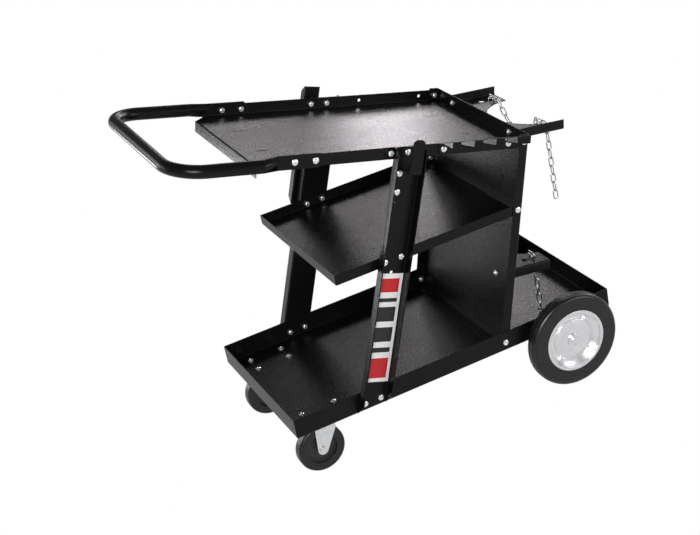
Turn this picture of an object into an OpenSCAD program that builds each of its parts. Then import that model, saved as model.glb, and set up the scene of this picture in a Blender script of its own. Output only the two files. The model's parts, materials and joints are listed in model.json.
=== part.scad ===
// Welding cart: a bottom tray on two fixed rear wheels and two swivel casters, a middle shelf
// and a sloping top tray held by a rear panel and two leaning front posts, a tube handle,
// a torch rack, a cable hook, a rod pocket, and two chained brackets for a gas cylinder.
// X runs along the cart, with the handle at -X and the cylinder end at +X. -Y is the near side.
// The origin is on the floor, at the middle of the length and the width.

/* [Overall] */
// Overall length, from the handle to the rear wall of the bottom tray
overall_l = 840; // [820:1:880]
// Overall width over the two rear tyres
overall_w = 450; // [448:1:470]
// Overall height, at the front bar of the handle
overall_h = 740; // [720:1:780]

/* [Sheet metal] */
// Sheet of the trays, the shelf and the rear panel
sheet = 1.5; // [1:0.1:2]
// Sheet of the posts, rack, hooks and cylinder brackets
plate = 2; // [1.5:0.1:3]
// Inner radius of every bend
bend_r = 1.5; // [0.5:0.1:2.5]

/* [Bottom tray] */
// Length of the bottom tray
tray_l = 721; // [700:1:740]
// Clearance between each side wall of the bottom tray and the rear tyre beside it
tyre_gap = 8; // [7:0.5:11]
// Height of the bottom tray's walls
tray_h = 42; // [36:1:50]
// Height of the bottom tray's underside above the floor
tray_z = 120; // [118:1:126]

/* [Middle shelf] */
// Length of the middle shelf at its floor
shelf_l = 406; // [390:1:420]
// Height of the shelf's walls
shelf_h = 22; // [18:1:28]
// Height of the shelf's underside above the floor
shelf_z = 399; // [380:1:410]

/* [Top tray] */
// Slope of the top tray and lean of the rear panel, in degrees
tilt = 15; // [13:0.5:17]
// Height of the top tray's side rails
rail_h = 24; // [22:1:28]
// Length of the slanted front end of each rail
rail_slant = 20; // [12:1:30]
// Set-back of the rails and floor corners from the front edge
rail_back = 24; // [16:1:30]
// Height of the front flange, which is turned down
apron_h = 22; // [16:1:28]
// Length of each floor slot
slot_l = 26; // [18:1:34]
// Width of each floor slot
slot_w = 3.5; // [2.5:0.5:6]
// Distance of the front slots from the front edge
slot_front = 52; // [40:1:70]
// Distance of the rear slots from the rear panel
slot_rear = 74; // [60:1:90]
// Distance of the slots from the middle of the tray
slot_y = 67; // [50:1:90]

/* [Rear panel] */
// Clear deck between the panel's foot and the rear wall, for the gas cylinder
deck_l = 243; // [230:1:250]
// Depth of the panel's side and foot flanges
panel_flange = 20; // [18:1:26]
// How far the panel's top edge stands above the rails
panel_lip = 3; // [1:1:6]

/* [Front posts] */
// Lean of the posts, in degrees
post_lean = 20; // [17:0.5:22]
// Width of each post's web
post_w = 60; // [54:1:66]
// Depth of each post's flanges
post_d = 22; // [18:1:24]
// Distance of the posts behind the front edge of the shelf
post_set = 118; // [105:1:130]
// Height of the chamfer at each flange end
post_chamfer = 18; // [10:1:24]

/* [Handle] */
// Diameter of the handle tube
tube_d = 25; // [22:1:28]
// Wall of the handle tube
tube_wall = 1.6; // [1.2:0.1:2.5]
// Reach of the front bar beyond the top tray's front edge
handle_reach = 168; // [150:1:180]
// Centre-line radius of the two handle bends
handle_bend_r = 62; // [50:1:80]
// Length of each flattened tube end
flat_l = 88; // [80:1:96]
// Height of each flattened tube end
flat_h = 27; // [26:1:32]

/* [Cylinder brackets] */
// Length of each bracket behind the panel
bracket_l = 112; // [104:1:116]
// Width of each bracket over its flanges
bracket_w = 272; // [262:1:280]
// Height of the bracket flanges
bracket_h = 20; // [16:1:24]
// Radius of the cylinder cradle
cradle_r = 88; // [80:1:92]
// Distance of the cradle's centre from the panel
cradle_x = 118; // [112:1:122]
// Slope of the brackets, in degrees
bracket_tilt = 8; // [4:0.5:12]
// Height of the upper bracket's bolts above the panel's foot
upper_bolt_z = 433; // [425:1:436]
// Height of the lower bracket's bolts above the panel's foot
lower_bolt_z = 137; // [120:1:160]

/* [Rear wheels] */
// Diameter of the rear wheels
wheel_d = 200; // [190:1:204]
// Width of the rear tyres
wheel_w = 31; // [28:1:31]
// Distance of the rear axle from the rear wall of the bottom tray
axle_set = 110; // [100:1:120]
// Diameter of the rear axle
axle_d = 16; // [12:1:18]

/* [Casters] */
// Diameter of the caster wheels
caster_d = 100; // [94:1:100]
// Width of the caster wheels
caster_w = 24; // [20:1:26]
// Distance of each kingpin from the front wall of the bottom tray
caster_set = 77; // [70:1:90]
// Distance of each kingpin from the side wall of the bottom tray
caster_in = 51; // [44:1:61]
// Trail of the caster wheel
caster_trail = 20; // [16:1:24]

/* [Chains] */
// Wire diameter of the chain links
link_d = 2.6; // [2:0.1:2.8]
// Outer width of a link
link_w = 11.6; // [11:0.1:12]
// Distance from one link to the next
link_pitch = 18; // [17:0.5:20]
// Links in the swinging part of the upper chain
span_links = 11; // [10:1:13]
// Links in the free tail of the upper chain
tail_links = 8; // [5:1:10]
// Links of the lower chain that lie on the tray floor
lying_links = 5; // [3:1:5]

/* [Hidden] */
$fn = 48;

// Gap between two pieces that are bolted or set together
seat = 0.2;
// Gap between a rubber tyre and its rim
bead_gap = 0.3;
// Radial clearance of a running fit
run_gap = 0.05;
// Clearance between two moving faces
free_gap = 0.4;
// Overrun of every cut
over = 1;

// Colours
black_coat = [0.12, 0.12, 0.12];
zinc = [0.75, 0.76, 0.78];
rubber = [0.06, 0.06, 0.06];

// Places along X
rear_x = overall_l / 2;
front_x = rear_x - tray_l;
foot_x = rear_x - deck_l;
axle_x = rear_x - axle_set;
king_x = front_x + caster_set;

// Width of the bottom tray, between the rear tyres
tray_w = overall_w - 2 * (wheel_w + tyre_gap);

// Half widths: the panel stands inside the tray walls, the rails and shelf inside the panel
tray_half = tray_w / 2;
caster_y = tray_half - caster_in;
panel_half = tray_half - sheet - seat;
rail_half = panel_half - sheet - seat;
tray_top = tray_z + tray_h;
tray_floor = tray_z + sheet;
corner_r = bend_r + sheet;

// Frame of the top tray: its origin is above the front edge, level with the rail tops
bar_x = -overall_l / 2 + tube_d / 2;
bar_z = overall_h - tube_d / 2;
bar_drop = 11;
tray_x0 = bar_x + handle_reach * cos(tilt) + bar_drop * sin(tilt);
tray_z0 = bar_z - handle_reach * sin(tilt) + bar_drop * cos(tilt);
function rail_x(s, h) = tray_x0 + s * cos(tilt) + h * sin(tilt);
function rail_z(s, h) = tray_z0 - s * sin(tilt) + h * cos(tilt);

// Frame of the rear panel: its origin is the rear face at the height of the tray floor
foot_z = tray_floor + seat;
web_s = (foot_x - tray_x0) * cos(tilt) - (foot_z - tray_z0) * sin(tilt);
web_h = (tray_z0 - foot_z) * cos(tilt) - (foot_x - tray_x0) * sin(tilt);
panel_l = web_h + panel_lip;
function web_x(z) = foot_x + (z - foot_z) * tan(tilt);

// Front posts: the middle line at the tray's top edge, and the small lean inwards
shelf_front = web_x(shelf_z) - (sheet + seat) / cos(tilt) - shelf_l;
post_x0 = shelf_front + post_set - (shelf_z - tray_top) * tan(post_lean);
function post_x(z) = post_x0 + (z - tray_top) * tan(post_lean);
post_s = (post_x(tray_z0) - tray_x0) * cos(tilt) / (1 + tan(tilt) * tan(post_lean));
post_top_z = rail_z(post_s, 0) + post_w / 2 * sin(tilt);
post_in = atan((tray_half - rail_half) / (post_top_z - tray_top));
function post_face(z) = tray_half + seat + plate - (z - tray_top) * tan(post_in);
post_lift = 3;

// Screws and nuts
screw_d = 6;
screw_hole = 6.6;
head_d = 12;
head_h = 3.6;
recess_w = 1.4;
recess_l = 6.5;
recess_deep = 1.6;
nut_af = 10;
nut_h = 5;
nut_bore = screw_d + 2 * run_gap;
screw_tip = 2;

// Rail screws: the distance along the rail and the depth below its top
rail_bolt_h = -11;
handle_bolts = [63, 104];
post_bolt_gap = 35;
post_bolts = [post_s - post_bolt_gap / 2, post_s + post_bolt_gap / 2];
panel_bolt_s = web_s - panel_flange / 2;

// Shelf and tray screws
tray_bolt_up = 16;
flange_bolt_up = 18;
shelf_bolt_z = shelf_z + shelf_h / 2;
tray_bolt_z = tray_z + tray_bolt_up;
flange_bolt_z = tray_z + flange_bolt_up;

// Torch rack, in front of the panel's near flange
rack_l = 176;
rack_s0 = web_s - panel_flange - seat - rack_l;
rack_bolt_front = 10;
rack_bolt_rear = 150;
rack_bolts = [rack_s0 + rack_bolt_front, rack_s0 + rack_bolt_rear];
rack_inset = 1;
rack_out = overall_w / 2 - rack_inset;
rack_pitch = 46.6;
rack_first = 7.5;
rack_tab_l = 17;
rack_end = 0.7;
rack_tab_h = 13;
rack_notch = 24;
rack_notch_r = 6;
rack_leg = 22;
rack_fingers = 4;
rack_last_tab_l = rack_l - rack_end - rack_first - (rack_fingers - 1) * rack_pitch;
rack_end_cut = 18;

// Cable hook and rod pocket, in the frame of a post
hook_w = 24;
hook_out = 40;
hook_z = 577;
hook_rise = 66;
hook_chamfer = 6;
hook_base_w = (hook_w + post_w) / 2 - plate - bend_r - seat;
hook_base_h = 62;
hook_bolt_x = -13.5;
hook_bolt_z = [570, 536];
tiny_hole_d = 3;
tiny_hole_z = 517;
spare_hole_z = 386;
pocket_w = 34;
pocket_x = -23;
pocket_z = 396;
pocket_top = 633;
pocket_foot_w = 21;
pocket_foot_h = 46;
pocket_foot_x = (pocket_foot_w - post_w) / 2 + plate + bend_r + seat;
pocket_bolt_z = [384, 362];
pocket_chamfer = 14;

// Handle ends
flat_t = 2 * tube_wall + 0.4 * tube_wall;
flat_front = 30;
flat_blend = 32;
leg_y = rail_half + seat + tube_d / 2;

// Brackets
bracket_bolt_y = 114;
bracket_arm_y = 110;
key_x = 88;
key_slot_w = link_d + 2 * free_gap;
key_slot_l = 22;
key_hole_d = 13;

// Rear wheels
wheel_y = overall_w / 2 - wheel_w / 2;
tyre_shoulder = 10;
tyre_bead_r = 62;
rib_count = 4;
rib_pitch = 5;
rib_w = 1.3;
rib_deep = 1.6;
rim_sheet = 1.6;
rim_lip = 4.5;
rim_inset = 0.6;
rim_lip_y = wheel_w / 2 - rim_sheet - rim_inset;
rim_dish_r = 33;
rim_step_r = 42;
rim_step = 6;
rim_dish = 2;
rim_flat_r = 45;
rim_cone_r = 53;
rim_cone = 7;
rim_bolt_r = 49;
rim_bolts = 4;
rim_bolt_d = 4;
rim_bolt_head = 6;
rim_bolt_head_h = 3;
hub_d = 26;
hub_out = 8;
hub_in = 15;
washer_d = 28;
washer_t = 1.5;
pin_d = 2.5;
pin_edge = 2.6;
pin_out = 7;
axle_end = 1.5;
axle_tip = 1;

// Axle carriers
carrier_w = 36;
carrier_t = 3;
carrier_edge = 3;
carrier_l = 33;
carrier_out = tray_half - carrier_edge;
carrier_in = carrier_out - carrier_l;
carrier_drop = 14;

// Casters
caster_plate_l = 90;
caster_plate_w = 62;
caster_plate_t = 2.5;
caster_bolt_l = 71;
caster_bolt_w = 42;
caster_corner = 6;
race_d = 46;
race_h = 7;
race_wall = 2;
fork_t = 2.5;
fork_top_z = 105;
fork_inner = 27.5;
fork_front = 28;
fork_rear = 16;
fork_knee = 14;
fork_boss_r = 11;
king_d = 10;
king_head_d = 16;
king_head_h = 2.4;
caster_axle_d = 8;
caster_head_af = 13;
caster_head_h = 5;
caster_core_r = 36;
caster_hub_r = 9;
caster_web_t = 8;
caster_rim_t = 3;
caster_shoulder = 5;

// Chain links: the wire's radius of bend, the length between end wires, and the hold of one
// link inside the next, from the middle of its end bend
link_r = link_w / 2 - link_d / 2;
link_gap = 0.4;
link_l = link_pitch + link_gap + link_d;
link_hold = link_r - link_gap - link_d;
lie_heading = -20;
lie_bend = 20;

// Sheet outlines

module quarter_ring(r_in, t) {
    intersection() {
        difference() {
            circle(r = r_in + t);
            circle(r = r_in);
        }
        square(r_in + t);
    }
}

// Bent strip: one leg along X, one along Y, with a rounded corner at the origin
module angle_section(leg_x, leg_y, t, r_in) {
    translate([r_in + t, r_in + t])
        rotate(180)
            quarter_ring(r_in, t);
    translate([r_in + t, 0])
        square([leg_x - r_in - t, t]);
    translate([0, r_in + t])
        square([t, leg_y - r_in - t]);
}

// Channel: a web along X about the middle, with two legs along Y
module channel_section(w, depth, t, r_in) {
    translate([-w / 2, 0])
        angle_section(w / 2, depth, t, r_in);
    mirror([1, 0])
        translate([-w / 2, 0])
            angle_section(w / 2, depth, t, r_in);
}

// Strip of thickness t along a line of points, laid on its left side
function unit(v) = v / norm(v);
function left(a, b) = [-(b - a)[1], (b - a)[0]] / norm(b - a);
function corner(p, i, t) =
    let (
        n0 = left(p[max(i - 1, 0)], p[max(i, 1)]),
        n1 = left(p[min(i, len(p) - 2)], p[min(i + 1, len(p) - 1)]),
        m = unit(n0 + n1)
    )
    p[i] + m * t / (m * n0);
function strip(p, t) = concat(p, [for (i = [len(p) - 1 : -1 : 0]) corner(p, i, t)]);

module both_sides() {
    children();
    mirror([0, 1, 0])
        children();
}

// Places

module at_top_tray() {
    translate([tray_x0, 0, tray_z0])
        rotate([0, tilt, 0])
            children();
}

module at_panel() {
    translate([foot_x, 0, foot_z])
        rotate([0, tilt, 0])
            children();
}

// Near post: local X across the web, Y outwards from its inner face, Z up along the post
module at_post() {
    translate([0, -tray_half - seat, tray_top])
        rotate([-post_in, 0, 0])
            translate([post_x0, 0, 0])
                rotate([0, post_lean, 0])
                    mirror([0, 1, 0])
                        children();
}
function up_post(z) = (z - tray_top) / cos(post_lean);

// Round hole across the whole cart, at one place of its side view
module cross_hole(x, z, d) {
    translate([x, 0, z])
        rotate([90, 0, 0])
            cylinder(d = d, h = tray_w + 4 * post_d, center = true);
}

module rail_holes(places) {
    for (s = places)
        cross_hole(rail_x(s, rail_bolt_h), rail_z(s, rail_bolt_h), screw_hole);
}

post_shelf_x = [post_x(shelf_bolt_z) - post_bolt_gap / 2, post_x(shelf_bolt_z) + post_bolt_gap / 2];
post_tray_x = [post_x(tray_bolt_z) - post_bolt_gap / 2, post_x(tray_bolt_z) + post_bolt_gap / 2];
panel_shelf_x = web_x(shelf_bolt_z) - panel_flange / 2;
panel_tray_x = web_x(flange_bolt_z) - panel_flange / 2;

module shelf_holes() {
    for (x = concat(post_shelf_x, [panel_shelf_x]))
        cross_hole(x, shelf_bolt_z, screw_hole);
}

module tray_holes() {
    for (x = post_tray_x)
        cross_hole(x, tray_bolt_z, screw_hole);
    cross_hole(panel_tray_x, flange_bolt_z, screw_hole);
}

// Trays

module tray_wall(half, high) {
    rotate([90, 0, 0])
        linear_extrude(2 * (half - corner_r), center = true)
            angle_section(corner_r + over, high, sheet, bend_r);
    translate([0, -half + sheet + seat, corner_r])
        cube([sheet, 2 * (half - sheet - seat), high - corner_r]);
}

// Open pan: X from 0 to l, walls on both sides and at the front
module pan(l, half, high) {
    translate([corner_r, 0, 0])
        rotate([90, 0, 90])
            linear_extrude(l - 2 * corner_r)
                channel_section(2 * half, high, sheet, bend_r);
    for (y = [-half, half - sheet])
        translate([0, y, corner_r])
            cube([l, sheet, high - corner_r]);
    tray_wall(half, high);
}

module caster_bolt_places() {
    for (x = [-1, 1], y = [-1, 1])
        translate([king_x + x * caster_bolt_l / 2, -caster_y + y * caster_bolt_w / 2, 0])
            children();
}

module bottom_tray() {
    color(black_coat)
        difference() {
            union() {
                translate([front_x, 0, tray_z])
                    pan(tray_l, tray_half, tray_h);
                translate([rear_x, 0, tray_z])
                    mirror([1, 0, 0])
                        tray_wall(tray_half, tray_h);
            }
            tray_holes();
            both_sides()
                caster_bolt_places()
                    translate([0, 0, tray_z - over])
                        cylinder(d = screw_hole, h = sheet + 2 * over);
        }
}

// Everything behind the panel's front face, less the seat
module behind_web(gap) {
    at_panel()
        translate([-sheet - gap, -overall_w / 2, -overall_h])
            cube([overall_l, overall_w, 2 * overall_h]);
}

module middle_shelf() {
    color(black_coat)
        difference() {
            union() {
                difference() {
                    translate([shelf_front, 0, shelf_z])
                        pan(shelf_l + panel_flange, rail_half, shelf_h);
                    behind_web(seat);
                }
                shelf_rear_wall();
            }
            shelf_holes();
        }
}

// The shelf's rear wall leans with the panel
module shelf_rear_wall() {
    rear = web_x(shelf_z) - seat / cos(tilt);
    intersection() {
        translate([rear, 0, shelf_z])
            rotate([0, tilt, 0])
                translate([-2 * sheet, -rail_half + corner_r, -shelf_h])
                    cube([sheet, 2 * (rail_half - corner_r), 2 * shelf_h]);
        translate([front_x, -rail_half, shelf_z])
            cube([tray_l, 2 * rail_half, shelf_h]);
    }
}

top_l = web_s - sheet - seat;
apron_half = rail_half - rail_back;

module top_tray() {
    color(black_coat)
        difference() {
            at_top_tray()
                difference() {
                    union() {
                        translate([corner_r, 0, -rail_h])
                            rotate([90, 0, 90])
                                linear_extrude(top_l - corner_r)
                                    channel_section(2 * rail_half, rail_h, sheet, bend_r);
                        translate([0, 0, -rail_h + sheet])
                            mirror([0, 0, 1])
                                rotate([90, 0, 0])
                                    linear_extrude(2 * apron_half, center = true)
                                        angle_section(corner_r + over, apron_h, sheet, bend_r);
                    }
                    both_sides()
                        rail_front_cut();
                    both_sides()
                        for (s = [slot_front, top_l - slot_rear])
                            translate([s - slot_l / 2, slot_y - slot_w / 2, -rail_h - over])
                                cube([slot_l, slot_w, sheet + 2 * over]);
                }
            rail_holes(concat(handle_bolts, post_bolts, rack_bolts, [panel_bolt_s]));
        }
}

// Cut that slants the front end of a rail and the floor corner below it
module rail_front_cut() {
    translate([0, rail_half + over, 0])
        rotate([90, 0, 0])
            linear_extrude(corner_r + over)
                polygon([
                    [-over, -rail_h - over],
                    [rail_back, -rail_h - over],
                    [rail_back, -rail_h + corner_r],
                    [rail_back + rail_slant, over],
                    [-over, over]
                ]);
    translate([0, 0, -rail_h - over])
        linear_extrude(sheet + corner_r + over)
            polygon([
                [-over, apron_half],
                [corner_r, apron_half],
                [rail_back, rail_half - corner_r],
                [rail_back, rail_half + over],
                [-over, rail_half + over]
            ]);
}

module rear_panel() {
    color(black_coat)
        difference() {
            union() {
                difference() {
                    at_panel()
                        translate([0, 0, -tray_h])
                            rotate([0, 0, 90])
                                linear_extrude(panel_l + tray_h)
                                    channel_section(2 * panel_half, panel_flange, sheet, bend_r);
                    translate([foot_x - tray_l / 2, -tray_w / 2, foot_z - tray_h])
                        cube([tray_l, tray_w, tray_h]);
                }
                translate([foot_x - panel_flange, -panel_half + panel_flange / 2, foot_z])
                    cube([panel_flange, 2 * panel_half - panel_flange, sheet]);
            }
            rail_holes([panel_bolt_s]);
            shelf_holes();
            tray_holes();
            bracket_bolt_places(upper_bolt_z)
                bracket_hole();
            bracket_bolt_places(lower_bolt_z)
                bracket_hole();
        }
}

// Posts and what they carry

// The parts of a post above the rails and below the tray's edge
module post_end_cuts() {
    reach = tray_half + 2 * post_d;
    at_top_tray()
        translate([post_s - 2 * post_w, -reach, -seat])
            cube([4 * post_w, 2 * reach, 3 * post_w]);
    translate([post_x(tray_z) - 2 * post_w, -reach, tray_z + post_lift - 3 * post_w])
        cube([4 * post_w, 2 * reach, 3 * post_w]);
}

// Chamfer that narrows both flanges towards an end of the post
module flange_chamfer() {
    rotate([90, 0, 90])
        linear_extrude(2 * post_w, center = true)
            polygon([
                [plate + bend_r, -over],
                [plate + bend_r, 0],
                [post_d + over, post_chamfer],
                [post_d + over, -over]
            ]);
}

module front_post() {
    top = up_post(rail_z(post_s, 0));
    bottom = up_post(tray_z + post_lift);
    difference() {
        at_post()
            difference() {
                translate([0, 0, bottom - post_w])
                    linear_extrude(top - bottom + 2 * post_w)
                        channel_section(post_w, post_d, plate, bend_r);
                translate([0, 0, bottom])
                    rotate([0, -post_lean, 0])
                        flange_chamfer();
                translate([0, 0, top])
                    rotate([0, tilt - post_lean, 0])
                        mirror([0, 0, 1])
                            flange_chamfer();
                translate([hook_bolt_x, 0, up_post(tiny_hole_z)])
                    rotate([-90, 0, 0])
                        cylinder(d = tiny_hole_d, h = 2 * post_d, center = true);
                translate([0, 0, up_post(spare_hole_z)])
                    rotate([-90, 0, 0])
                        cylinder(d = screw_hole, h = 2 * post_d, center = true);
                children();
            }
        post_end_cuts();
        rail_holes(post_bolts);
        for (x = post_shelf_x)
            cross_hole(x, shelf_bolt_z, screw_hole);
        for (x = post_tray_x)
            cross_hole(x, tray_bolt_z, screw_hole);
    }
}

module hook_bolt_places(x, heights) {
    for (z = heights)
        translate([x, 0, up_post(z)])
            rotate([-90, 0, 0])
                children();
}

module front_post_near() {
    color(black_coat)
        front_post()
            hook_bolt_places(hook_bolt_x, hook_bolt_z)
                cylinder(d = screw_hole, h = 2 * post_d, center = true);
}

module front_post_far() {
    color(black_coat)
        mirror([0, 1, 0])
            front_post()
                hook_bolt_places(pocket_foot_x, pocket_bolt_z)
                    cylinder(d = screw_hole, h = 2 * post_d, center = true);
}

// Hook of bent plate: a foot on the post's web, a shelf outwards and an upright outer plate
module cable_hook() {
    base = plate + seat;
    z = up_post(hook_z);
    inner_r = bend_r;
    color(black_coat)
        at_post()
            difference() {
                union() {
                    translate([-hook_w / 2, base, z])
                        rotate([90, 0, 90])
                            linear_extrude(hook_w)
                                angle_section(hook_out - base, plate + over, plate, inner_r);
                    translate([-hook_w / 2, hook_out, z])
                        mirror([0, 1, 0])
                            rotate([90, 0, 90])
                                linear_extrude(hook_w)
                                    angle_section(hook_out / 2, 2 * plate + over, plate, inner_r);
                    translate([0, hook_out, z])
                        rotate([90, 0, 0])
                            linear_extrude(plate)
                                hook_outline();
                    translate([-hook_base_w + hook_w / 2, base, z - hook_base_h])
                        cube([hook_base_w, plate, hook_base_h + plate + inner_r]);
                }
                translate([-hook_base_w, 0, z])
                    cube([hook_base_w - hook_w / 2, hook_out, hook_out]);
                hook_bolt_places(hook_bolt_x, hook_bolt_z)
                    cylinder(d = screw_hole, h = 2 * post_d, center = true);
            }
}

module hook_outline() {
    low = plate + bend_r;
    polygon([
        [-hook_w / 2, low],
        [hook_w / 2, low],
        [hook_w / 2, hook_rise - hook_chamfer],
        [hook_w / 2 - hook_chamfer, hook_rise],
        [-hook_w / 2 + hook_chamfer, hook_rise],
        [-hook_w / 2, hook_rise - hook_chamfer]
    ]);
}

// Tall narrow channel beside the far post, open at the top, on a foot inside the post
module rod_pocket() {
    base = plate + seat;
    face = post_d + seat;
    z0 = up_post(pocket_z);
    z1 = up_post(pocket_top);
    color(black_coat)
        mirror([0, 1, 0])
            at_post()
                difference() {
                    union() {
                        translate([pocket_x, face, z0])
                            linear_extrude(z1 - z0)
                                channel_section(pocket_w, hook_out - face, plate, bend_r);
                        translate([pocket_foot_x - pocket_foot_w / 2, base, z0])
                            cube([pocket_foot_w, face - base + plate, plate]);
                        translate([pocket_foot_x - pocket_foot_w / 2, base, z0 - pocket_foot_h])
                            cube([pocket_foot_w, plate, pocket_foot_h + plate]);
                    }
                    for (end = [[z0, 0], [z1, 1]])
                        translate([pocket_x, face, end[0]])
                            mirror([0, 0, end[1]])
                                rotate([90, 0, 90])
                                    linear_extrude(2 * pocket_w, center = true)
                                        polygon([
                                            [plate + bend_r, -over],
                                            [plate + bend_r, 0],
                                            [hook_out - face + over, pocket_chamfer],
                                            [hook_out - face + over, -over]
                                        ]);
                    hook_bolt_places(pocket_foot_x, pocket_bolt_z)
                        cylinder(d = screw_hole, h = 2 * post_d, center = true);
                }
}

// Handle

module tube(l) {
    difference() {
        cylinder(d = tube_d, h = l);
        translate([0, 0, -over])
            cylinder(d = tube_d - 2 * tube_wall, h = l + 2 * over);
    }
}

module handle_side() {
    // Half of the front bar
    translate([-handle_reach, 0, 0])
        rotate([90, 0, 0])
            tube(leg_y - handle_bend_r);
    // Bend
    translate([-handle_reach + handle_bend_r, -leg_y + handle_bend_r, 0])
        rotate([0, 0, 180])
            rotate_extrude(angle = 90)
                translate([handle_bend_r, 0])
                    difference() {
                        circle(d = tube_d);
                        circle(d = tube_d - 2 * tube_wall);
                    }
    // Leg
    translate([-handle_reach + handle_bend_r, -leg_y, 0])
        rotate([0, 90, 0])
            tube(handle_reach - handle_bend_r + flat_front - flat_blend);
    // Squeezed stretch between the round leg and the flat end
    hull() {
        translate([flat_front - flat_blend, -leg_y, 0])
            rotate([0, 90, 0])
                cylinder(d = tube_d, h = sheet / 2, $fn = 32);
        translate([flat_front, -rail_half - seat - flat_t, -flat_h / 2])
            cube([sheet / 2, flat_t, flat_h]);
    }
    // Flat end with its two screw holes
    difference() {
        translate([flat_front, -rail_half - seat, 0])
            rotate([90, 0, 0])
                linear_extrude(flat_t)
                    difference() {
                        translate([0, -flat_h / 2])
                            square([flat_l, flat_h]);
                        for (k = [0, 1])
                            mirror([0, k])
                                translate([flat_l, flat_h / 2])
                                    rotate(45)
                                        square(flat_h / 3, center = true);
                    }
        for (s = handle_bolts)
            translate([s, 0, rail_bolt_h + bar_drop])
                rotate([90, 0, 0])
                    cylinder(d = screw_hole, h = leg_y + tube_d);
    }
}

module handle() {
    color(black_coat)
        at_top_tray()
            translate([0, 0, -bar_drop])
                both_sides()
                    handle_side();
}

// Torch rack: an angle along the near rail with hooked fingers

// Plan of the rack: X along the rail, Y outwards from the rail
module rack_plan() {
    reach = rack_out - rail_half - seat;
    last = rack_first + (rack_fingers - 1) * rack_pitch;
    difference() {
        square([rack_l, reach]);
        // In front of the first finger
        translate([-over, plate])
            square([rack_first + over, reach]);
        // Notches between the fingers
        for (i = [0 : rack_fingers - 2])
            translate([rack_first + i * rack_pitch, 0])
                rack_notch_outline(reach);
        // Cut corner at the rear end
        polygon([
            [last + rack_last_tab_l, reach + over],
            [last + rack_last_tab_l, reach],
            [rack_l, reach - rack_end_cut],
            [rack_l + over, reach - rack_end_cut],
            [rack_l + over, reach + over]
        ]);
    }
}

module rack_notch_outline(reach) {
    deep = reach - rack_notch + rack_notch_r;
    mid = rack_tab_l + rack_notch_r + plate;
    translate([mid, deep])
        circle(r = rack_notch_r);
    polygon([
        [mid - rack_notch_r, deep],
        [mid - rack_notch_r, reach],
        [rack_tab_l, reach + over],
        [rack_pitch, reach + over],
        [rack_pitch, reach],
        [mid + rack_notch_r * cos(45), deep - rack_notch_r * sin(45)],
        [mid, deep - rack_notch_r / 2]
    ]);
}

module torch_rack() {
    reach = rack_out - rail_half - seat;
    color(black_coat)
        difference() {
            at_top_tray()
                translate([rack_s0, -rail_half - seat, 0])
                    mirror([0, 1, 0])
                        union() {
                            translate([0, 0, -plate])
                                linear_extrude(plate)
                                    difference() {
                                        rack_plan();
                                        translate([-over, -over])
                                            square([rack_l + 2 * over, plate + bend_r + over]);
                                    }
                            translate([0, 0, 0])
                                mirror([0, 0, 1])
                                    rotate([90, 0, 90])
                                        linear_extrude(rack_l)
                                            angle_section(plate + bend_r + over, rack_leg,
                                                plate, bend_r);
                            for (i = [0 : rack_fingers - 1])
                                translate([rack_first + i * rack_pitch, reach - plate, -plate])
                                    cube([i == rack_fingers - 1 ? rack_last_tab_l : rack_tab_l,
                                        plate, rack_tab_h + plate]);
                        }
            rail_holes(rack_bolts);
        }
}

// Cylinder brackets, in the panel's frame at the height of their bolts

module bracket_bolt_places(z) {
    at_panel()
        for (y = [-bracket_bolt_y, bracket_bolt_y])
            translate([0, y, z])
                rotate([0, 90, 0])
                    children();
}

module bracket_hole() {
    cylinder(d = screw_hole, h = 4 * (sheet + plate), center = true);
}

module bracket_plan() {
    difference() {
        translate([0, -bracket_w / 2])
            square([bracket_l, bracket_w]);
        translate([cradle_x, 0])
            circle(r = cradle_r, $fn = 96);
        translate([bracket_l, 0])
            square([2 * (cradle_x - bracket_l), 2 * cradle_r], center = true);
    }
}

// Plate with its flanges turned up, or down, with the fold against the panel at X 0
module bracket_body(down) {
    fold = plate + bend_r;
    mirror([0, 0, down])
        translate([0, fold - bracket_w / 2, 0])
            cube([plate, bracket_w - 2 * fold, bracket_h]);
    rotate([0, bracket_tilt - tilt, 0])
        mirror([0, 0, down])
            difference() {
                union() {
                    linear_extrude(plate)
                        intersection() {
                            bracket_plan();
                            square([2 * bracket_l, bracket_w - 2 * fold], center = true);
                        }
                    for (k = [0, 1])
                        mirror([0, k, 0])
                            translate([fold, -bracket_w / 2, 0])
                                rotate([90, 0, 90])
                                    linear_extrude(bracket_l - fold)
                                        angle_section(fold + over, bracket_h, plate, bend_r);
                }
                for (y = [-bracket_arm_y, bracket_arm_y])
                    translate([key_x, y, -over])
                        key_hole();
            }
}

// Round hole with a slot behind it, in which a link is caught
module key_hole() {
    translate([-key_slot_l, 0, 0])
        cylinder(d = key_hole_d, h = plate + 2 * over);
    translate([-key_slot_l, -key_slot_w / 2, 0])
        cube([key_slot_l + link_w / 2 + free_gap, key_slot_w, plate + 2 * over]);
}

// Height above the panel's foot of each bracket's fold
upper_fold = upper_bolt_z - bracket_h / 2;
lower_fold = lower_bolt_z + bracket_h / 2;

module bracket(fold_z, bolt_z, down) {
    color(black_coat)
        difference() {
            at_panel()
                translate([seat, 0, fold_z])
                    bracket_body(down);
            bracket_bolt_places(bolt_z)
                bracket_hole();
        }
}

module upper_bracket()
    bracket(upper_fold, upper_bolt_z, 0);

module lower_bracket()
    bracket(lower_fold, lower_bolt_z, 1);

// Rear axle

axle_z = wheel_d / 2;
hub_end = wheel_y + hub_out;
hub_start = wheel_y - hub_in;
axle_half = overall_w / 2 - axle_end;
pin_y = axle_half - pin_edge;

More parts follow.
